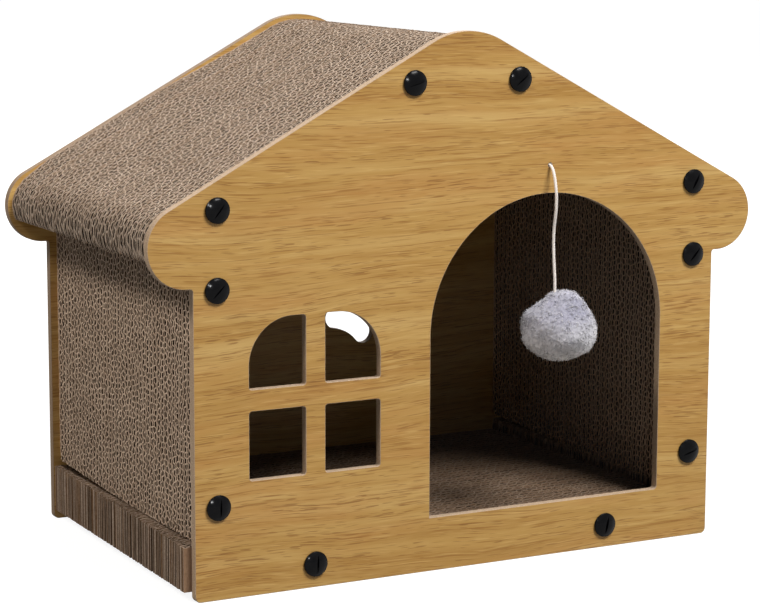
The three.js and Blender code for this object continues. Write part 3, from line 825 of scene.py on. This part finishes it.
def roof_pad(side, name, seed, parting):
    """A slope of the roof: along runs down the slope from the eave's centre.

    parting is how far the first layers lean back from the front panel at the eave.
    """
    top, ridge_radius = EAVE_RADIUS - ROOF_INSET, RIDGE_RADIUS - ROOF_INSET
    under = top - PAD_THICKNESS
    cosine, sine = math.cos(ROOF_SLOPE), math.sin(ROOF_SLOPE)

    def low(along):
        return np.maximum(under, (RIDGE_SEAM / 2 - EAVE_X - along * cosine) / sine)

    def high(along, depth):
        from_ridge = along + ROOF_STRAIGHT
        eave = np.sqrt(np.maximum(top ** 2 - np.maximum(along, 0) ** 2, 0))
        ridge = np.sqrt(ridge_radius ** 2 - np.minimum(from_ridge, 0) ** 2)
        bulge = smooth_step(from_ridge, *BULGE_DOWN) * (1 - smooth_step(along, *BULGE_NOSE))
        bulge *= ROOF_BULGE * smooth_step(depth, *BULGE_BACK)
        return np.minimum(eave, top - ridge_radius + ridge) + bulge

    def to_world(along, up, depth):
        x = EAVE_X + along * cosine + up * sine
        z = EAVE_Z - along * sine + up * cosine
        open_up = smooth_step(along, *PARTING_GROWS)
        lean = parting * open_up * np.exp(-(depth + PAD_HALF_DEPTH) / PARTING_DEPTH)
        return np.stack([side * x, depth + lean, z], axis=1)

    nose = math.sqrt(top ** 2 - (under + NOSE_ABOVE_UNDERSIDE) ** 2)
    ends = -ROOF_STRAIGHT - PAST_RIDGE, nose
    curved = np.concatenate([np.linspace(0, nose, 9), np.linspace(ends[0], -ROOF_STRAIGHT, 6)])
    papers = Papers(low, high, to_world, roof_kraft, roof_cut, (1.8 * MM, 0.2 * MM), seed)
    make_pad(name, papers, lambda depth: ends, lambda depth: curved)


def base_end(depth):
    """Height of the base's raised ends, which climb to the back."""
    share = (depth + PAD_HALF_DEPTH) / (2 * PAD_HALF_DEPTH)
    return BASE_END_FRONT + (BASE_END_BACK - BASE_END_FRONT) * share


def wall_pad(side, name, seed):
    """A wall: along runs upwards. Its foot is worn towards the back, and round at its corner."""
    under_roof = ROOF_INSET + PAD_THICKNESS + WALL_CLEARANCE
    outer_top = roof_height(WALL_OUTER, under_roof)
    inner_top = roof_height(WALL_INNER, under_roof)

    def high(along, depth):
        share = np.clip((along - outer_top) / (inner_top - outer_top), 0, 1)
        return WALL_OUTER - share * PAD_THICKNESS

    def to_world(along, across, depth):
        return np.stack([side * across, depth, along], axis=1)

    def ends(depth):
        worn = WALL_FOOT_WEAR * max(depth, 0) / PAD_HALF_DEPTH
        into = np.clip(depth - PAD_HALF_DEPTH + WALL_BACK_CORNER, 0, WALL_BACK_CORNER)
        rounded = WALL_BACK_CORNER - math.sqrt(WALL_BACK_CORNER ** 2 - into ** 2)
        return base_end(depth) + WALL_CLEARANCE + worn + rounded, inner_top - 0.4 * MM

    loose = 0.4 * MM, 0.7 * MM
    papers = Papers(lambda along: WALL_INNER, high, to_world, wall_kraft, wall_cut, loose, seed)
    make_pad(name, papers, ends, lambda depth: [outer_top])


def base_pad(seed):
    """The floor: along runs to the right. Its ends are raised, and its stack leans."""

    def lean(depth):
        return BASE_SKEW * depth / (2 * PAD_HALF_DEPTH)

    def high(along, depth):
        raised = np.abs(along + lean(depth)) >= WALL_INNER
        return np.where(raised, base_end(depth), FLOOR_HEIGHT)

    def to_world(along, up, depth):
        return np.stack([along + lean(depth), depth, up], axis=1)

    def stops(depth):
        edge = np.array([-WALL_INNER, WALL_INNER]) - lean(depth)
        return np.concatenate([edge - 0.05 * MM, edge + 0.05 * MM])

    papers = Papers(
        lambda along: BASE_UNDERSIDE, high, to_world, base_kraft, base_cut,
        (0.6 * MM, 0.6 * MM), seed, plain=True,
    )
    make_pad("base_pad", papers, lambda depth: (-BASE_HALF_LENGTH, BASE_HALF_LENGTH), stops)


# Screws: a domed head with a coin slot, on a shank with a coarse thread
HEAD_RADIUS, HEAD_HEIGHT, HEAD_EDGE, HEAD_RIM = 8.5 * MM, 3.6 * MM, 1.1 * MM, 0.45 * MM
SLOT_LENGTH, SLOT_WIDTH, SLOT_DEPTH = 12.5 * MM, 1.7 * MM, 1.3 * MM
SHANK_RADIUS, THREAD_HEIGHT, THREAD_PITCH = 3 * MM, 1.4 * MM, 6 * MM
SCREW_LENGTH, TIP_LENGTH = 34 * MM, 4 * MM
SCREW_STANDOFF, THREAD_GAP = 0.3 * MM, 0.3 * MM
HEAD_SIDES, SHANK_SIDES, ROWS_A_TURN = 64, 16, 8
SLOT_ANGLES = {
    "left": {"roof_upper": 16, "roof_lower": 52, "wall_upper": 45, "wall_lower": 88, "base": 88},
    "right": {"roof_upper": 38, "roof_lower": 62, "wall_upper": 48, "wall_lower": 16, "base": 78},
}


def rings_mesh(rings):
    """Points and faces of a closed tube through rings of points."""
    count, sides = len(rings), len(rings[0])
    points = np.concatenate([*rings, [rings[0].mean(axis=0)], [rings[-1].mean(axis=0)]])
    around = np.arange(sides)
    after = (around + 1) % sides
    faces = []
    for here in range(0, (count - 1) * sides, sides):
        above = here + sides
        faces += np.stack([here + around, here + after, above + after, above + around], 1).tolist()
    top, first = (count - 1) * sides, count * sides
    faces += np.stack([around * 0 + first, after, around], 1).tolist()
    faces += np.stack([around * 0 + first + 1, top + around, top + after], 1).tolist()
    return points, faces


def ring(radius, y, sides):
    """Points round the Y axis, at one radius or at one for each point."""
    angles = 2 * math.pi * np.arange(sides) / sides
    return np.stack([radius * np.sin(angles), np.full(sides, y), radius * np.cos(angles)], axis=1)


def head_profile():
    """Radius and height from the middle of the dome to that of the underside."""
    dome = HEAD_HEIGHT - HEAD_EDGE
    sphere = (HEAD_RADIUS ** 2 + dome ** 2) / (2 * dome)
    profile = []
    for radius in np.linspace(0.4 * MM, HEAD_RADIUS - HEAD_RIM, 16):
        drop = sphere - math.sqrt(sphere ** 2 - radius ** 2)
        profile.append((radius, drop - HEAD_HEIGHT))
    edge_y = profile[-1][1]
    for angle in np.linspace(0.25, 1, 5) * math.pi / 2:
        radius = HEAD_RADIUS - HEAD_RIM * (1 - math.sin(angle))
        profile.append((radius, edge_y + HEAD_RIM * (1 - math.cos(angle)) * 1.2))
    return profile + [(HEAD_RADIUS, -0.25 * MM), (HEAD_RADIUS - 0.2 * MM, 0), (1 * MM, 0)]


def slot_cutter():
    """Rings of a slot with round ends, long along X, that widens outwards."""
    half = SLOT_LENGTH / 2 - SLOT_WIDTH / 2
    outline = [
        *arc(half, 0, SLOT_WIDTH / 2, -math.pi / 2, math.pi / 2, 10),
        *arc(-half, 0, SLOT_WIDTH / 2, math.pi / 2, 1.5 * math.pi, 10),
    ]
    return [
        np.array([(x, y, z * grow) for x, z in outline])
        for y, grow in ((-HEAD_HEIGHT - 1 * MM, 1.2), (SLOT_DEPTH - HEAD_HEIGHT, 1.0))
    ]


def shank_rings():
    """A shank from inside the head to the tip, with a sharp thread in the board."""
    start = PANEL_THICKNESS + THREAD_GAP
    threaded = SCREW_LENGTH - TIP_LENGTH - start
    total = int(threaded / THREAD_PITCH * ROWS_A_TURN)
    # Each level's place, how much thread it has, and its width
    levels = [(-HEAD_EDGE / 2, 0, 1), (start, 0, 1)]
    levels += [(start + threaded * row / total, 1, 1) for row in range(1, total)]
    levels += [(SCREW_LENGTH - TIP_LENGTH, 0, 1), (SCREW_LENGTH, 0, 0.35)]
    rings = []
    for y, thread, width in levels:
        turn = (y - start) / THREAD_PITCH - np.arange(SHANK_SIDES) / SHANK_SIDES
        wave = np.abs(2 * (turn - np.floor(turn)) - 1) ** 3
        radius = (SHANK_RADIUS + THREAD_HEIGHT * wave * thread) * width
        rings.append(ring(radius, y, SHANK_SIDES))
    return rings


def screw_mesh():
    head_rings = [ring(radius, y, HEAD_SIDES) for radius, y in head_profile()]
    made = []
    for name, rings in (("head", head_rings), ("cutter", slot_cutter())):
        mesh = build_mesh(name, *rings_mesh(rings))
        mend(mesh)
        made.append(placed(name, mesh))
    head, cutter = made
    cut = head.modifiers.new("slot", "BOOLEAN")
    cut.operation, cut.object, cut.solver = "DIFFERENCE", cutter, "EXACT"
    mesh = taken_from(head, plastic)
    bpy.data.objects.remove(cutter)
    mend(mesh, build_mesh("shank", *rings_mesh(shank_rings())))
    mesh.set_sharp_from_angle(angle=math.radians(32))
    return mesh


def make_screws():
    """The back's screws are the front's, turned round and changed from left to right."""
    pattern = screw_mesh()
    for name, middle in SCREWS.items():
        end, side, place = name[:-len("_screw")].split("_", 2)
        spin, y = Matrix(), -HALF_DEPTH - SCREW_STANDOFF
        if end == "back":
            side = {"left": "right", "right": "left"}[side]
            spin, y = Matrix.Rotation(math.pi, 4, "Z"), -y
        spin = spin @ Matrix.Rotation(-math.radians(SLOT_ANGLES[side][place]), 4, "Y")
        mesh = pattern.copy()
        mesh.name = name
        mesh.transform(Matrix.Translation((middle.x, y, middle.z)) @ spin)
        piece(f"{name}_moulded", mesh, "house", name)


def way_along(path):
    """How far each point of a path is from its start."""
    return np.concatenate([[0], np.cumsum(np.linalg.norm(np.diff(path, axis=0), axis=1))])


def through(points, spacing):
    """Points at an even spacing on a smooth curve through the given ones."""
    points = np.asarray(points, dtype=float)
    padded = np.concatenate([[2 * points[0] - points[1]], points, [2 * points[-1] - points[-2]]])
    fine = []
    for index in range(len(points) - 1):
        a, b, c, d = padded[index:index + 4]
        for t in np.linspace(0, 1, 12, endpoint=False):
            fine.append(0.5 * (
                2 * b + (c - a) * t + (2 * a - 5 * b + 4 * c - d) * t ** 2
                + (3 * b - a - 3 * c + d) * t ** 3
            ))
    fine = np.array([*fine, points[-1]])
    gone = way_along(fine)
    wanted = np.linspace(0, gone[-1], max(2, int(gone[-1] / spacing)) + 1)
    return np.stack([np.interp(wanted, gone, fine[:, axis]) for axis in range(3)], axis=1)


def string_mesh(name, path, sides):
    """A string of twisted plies along a path."""
    tangents = np.gradient(path, axis=0)
    tangents /= np.linalg.norm(tangents, axis=1, keepdims=True)
    normal = np.cross(tangents[0], (1.0, 0.0, 0.0))
    angles = 2 * math.pi * np.arange(sides) / sides
    rings = []
    for point, tangent, gone in zip(path, tangents, way_along(path)):
        normal = normal - tangent * (normal @ tangent)
        normal /= np.linalg.norm(normal)
        across = np.cross(tangent, normal)
        twist = 2 * math.pi * gone / CORD_LAY
        grown = CORD_DIAMETER / 2 * (1 + 0.10 * np.cos(CORD_PLIES * (angles - twist)))
        rings.append(point + grown[:, None] * (
            np.cos(angles)[:, None] * normal + np.sin(angles)[:, None] * across
        ))
    return build_mesh(name, *rings_mesh(rings), string, smooth=True)


def make_cord():
    route = [(CORD_HOLE.x, CORD_HOLE.y + y * MM, CORD_HOLE.z + z * MM) for y, z in CORD_ROUTE]
    path = through(route, CORD_SPACING)
    cord = placed("cord", string_mesh("cord", path, CORD_SIDES))
    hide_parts("cord_upper", "cord_lower")
    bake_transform(cord)
    return cord, path


def make_knot():
    """A small overhand knot behind the panel, with a short tail."""
    scale = 0.72 * MM
    centre = np.array([CORD_HOLE.x, -PAD_HALF_DEPTH + 3.5 * MM, CORD_HOLE.z])
    turns = np.linspace(0, 2 * math.pi, 60, endpoint=False)
    loop = np.stack([
        np.sin(turns) + 2 * np.sin(2 * turns), -0.9 * np.sin(3 * turns),
        np.cos(turns) - 2 * np.cos(2 * turns),
    ], axis=1) * scale + centre
    tail = loop[-1] + np.array([
        (0.3, 0.8, -0.6), (0.6, 1.4, -2.4), (0.4, 1.8, -4.4), (0.9, 1.9, -6.6),
    ]) * MM
    path = through(np.concatenate([loop, tail]), KNOT_SPACING)
    mesh = string_mesh("cord_knot_tied", path, KNOT_SIDES)
    piece("cord_knot_tied", mesh, "house", "cord_knot")


# The pom-pom's outline from bottom to top as the photograph shows it: the height, and how
# far it reaches to the left and to the right, as shares of its half height and half width
POM_POM_OUTLINE = np.array([
    (-1.0, -0.06, 0.06), (-0.957, -0.36, 0.29), (-0.868, -0.544, 0.494), (-0.76, -0.686, 0.70),
    (-0.67, -0.775, 0.83), (-0.503, -0.904, 0.92), (-0.345, -0.96, 0.982), (-0.168, -0.993, 1.0),
    (0.0, -0.998, 0.97), (0.128, -0.988, 0.94), (0.286, -0.96, 0.858), (0.385, -0.89, 0.823),
    (0.503, -0.75, 0.743), (0.631, -0.59, 0.66), (0.75, -0.42, 0.59), (0.86, -0.33, 0.50),
    (0.93, -0.24, 0.42), (0.975, -0.10, 0.33), (1.0, 0.06, 0.18),
])


class PomPom:
    """The pom-pom's surface: across is the photograph's right, and away points into it."""

    def __init__(self, across, inset):
        self.across, self.up = np.array(across), np.array((0.0, 0.0, 1.0))
        self.away = np.cross(self.up, self.across)
        self.inset = inset
        # A millimetre right of and below its solid, as the photograph shows it
        self.centre = np.array(POM_POM_CENTRE) + (self.across - self.up) * MM

    def at(self, height, turn):
        heights, left, right = POM_POM_OUTLINE.T
        width = POM_POM_HALF_WIDTH - self.inset
        left, right = np.interp(height, heights, left), np.interp(height, heights, right)
        shift, half = (right + left) / 2 * width, (right - left) / 2 * width
        lump = 1 + 0.02 * np.sin(3 * turn + 4 * height) + 0.015 * np.sin(5 * turn - 7 * height)
        flat = (shift + half * lump * np.cos(turn))[..., None] * self.across
        deep = (half * lump * np.sin(turn))[..., None] * self.away
        rise = (height * (POM_POM_HALF_HEIGHT - self.inset))[..., None] * self.up
        return self.centre + flat + deep + rise

    def outward(self, points):
        away = points - self.centre
        return away / np.linalg.norm(away, axis=-1, keepdims=True)

    def heights(self, shares, by_area):
        """Heights at given shares of the way up the surface, or of its area."""
        level = np.linspace(-1, 1, 400)
        half = np.interp(level, POM_POM_OUTLINE[:, 0], np.ptp(POM_POM_OUTLINE[:, 1:], axis=1)) / 2
        way = np.hypot(np.gradient(level), np.gradient(half))
        gone = np.cumsum(way * half if by_area else way)
        return np.interp(gone[0] + np.asarray(shares) * (gone[-1] - gone[0]), gone, level)


YARN_ENDS, LOOSE_ENDS = 1700, 1100
BALL_SIDES, BALL_LEVELS, DIMPLE_DEPTH, DIMPLE_WIDTH = 250, 130, 0.8 * MM, 0.9 * MM
# How wide a loose end is at each step of its way, and how deep in the ball it starts
END_SHARES, END_SIDES, END_ROOT = (1.0, 1.05, 0.95, 0.5), 4, 1.2 * MM


def yarn_ball(ball, random):
    """Points and faces of a ball of packed yarn ends, with a dimple between every two."""
    heights = ball.heights(random.uniform(0, 1, YARN_ENDS), True)
    places = ball.at(heights, random.uniform(0, 2 * math.pi, YARN_ENDS))
    short = random.uniform(0, 0.7, YARN_ENDS) * MM
    tree = KDTree(YARN_ENDS)
    for index, place in enumerate(places):
        tree.insert(place, index)
    tree.balance()
    turns = 2 * math.pi * np.arange(BALL_SIDES) / BALL_SIDES
    rings = []
    for height in ball.heights(np.linspace(0, 1, BALL_LEVELS)[1:-1], False):
        around = ball.at(np.full(BALL_SIDES, height), turns)
        sunk = np.empty(BALL_SIDES)
        for index, point in enumerate(around):
            nearest, second = tree.find_n(point, 2)
            rounded = smooth_step(second[2] - nearest[2], 0, DIMPLE_WIDTH)
            sunk[index] = DIMPLE_DEPTH * (1 - rounded) + short[nearest[1]] * rounded
        rings.append(around - ball.outward(around) * sunk[:, None])
    return rings_mesh(rings)


def loose_ends(ball, random):
    """Points and faces of short ends of yarn that stand off the ball."""
    heights = ball.heights(random.uniform(0, 1, LOOSE_ENDS), True)
    base = ball.at(heights, random.uniform(0, 2 * math.pi, LOOSE_ENDS))
    outward = ball.outward(base)
    sideways = np.cross(outward, random.normal(0, 1, (LOOSE_ENDS, 3)))
    sideways /= np.linalg.norm(sideways, axis=1, keepdims=True)
    third = np.cross(outward, sideways)
    curl = random.uniform(0.5, 2.0, LOOSE_ENDS)[:, None] * MM
    reach = random.normal(0.3, 0.25, LOOSE_ENDS)[:, None] * MM
    thick = random.uniform(0.24, 0.42, LOOSE_ENDS)[:, None] * MM
    angles = 2 * math.pi * np.arange(END_SIDES) / END_SIDES
    rings = []
    for t, share in zip(np.linspace(0, 1, len(END_SHARES)), END_SHARES):
        rise = reach * math.sin(t * math.pi / 2) - END_ROOT * (1 - t)
        middle = base + outward * rise + sideways * curl * t ** 2
        rings.append(middle[:, None, :] + (thick * share)[:, None] * (
            np.cos(angles)[None, :, None] * sideways[:, None, :]
            + np.sin(angles)[None, :, None] * third[:, None, :]
        ))
    top = (len(END_SHARES) - 1) * END_SIDES
    corners = np.arange(END_SIDES)
    after = (corners + 1) % END_SIDES
    quads = [corners[::-1], corners + top]
    for level in range(0, top, END_SIDES):
        quads += [*(np.stack([corners, after, after + END_SIDES, corners + END_SIDES], 1) + level)]
    starts = np.arange(LOOSE_ENDS)[:, None, None] * (top + END_SIDES)
    return np.stack(rings, axis=1).reshape(-1, 3), (starts + quads).reshape(-1, 4).tolist()


def make_pom_pom(across):
    random = np.random.default_rng(11)
    ball = PomPom(across, 0.5 * MM)
    points, faces = yarn_ball(ball, random)
    loose_points, loose_faces = loose_ends(ball, random)
    faces += [[corner + len(points) for corner in face] for face in loose_faces]
    points = np.concatenate([points, loose_points])
    mesh = build_mesh("pom_pom_tufts", points, faces, yarn, smooth=True)
    return piece("pom_pom_tufts", mesh, "pendant", "pom_pom")


across_the_view = photo_camera()
cord, cord_path = make_cord()
pom_pom = make_pom_pom(across_the_view)
make_knot()
studio()
make_panels()
roof_pad(-1, "roof_pad_left", 21, 2.6 * MM)
roof_pad(1, "roof_pad_right", 22, 1.2 * MM)
wall_pad(-1, "wall_pad_left", 23)
wall_pad(1, "wall_pad_right", 24)
base_pad(25)
make_screws()
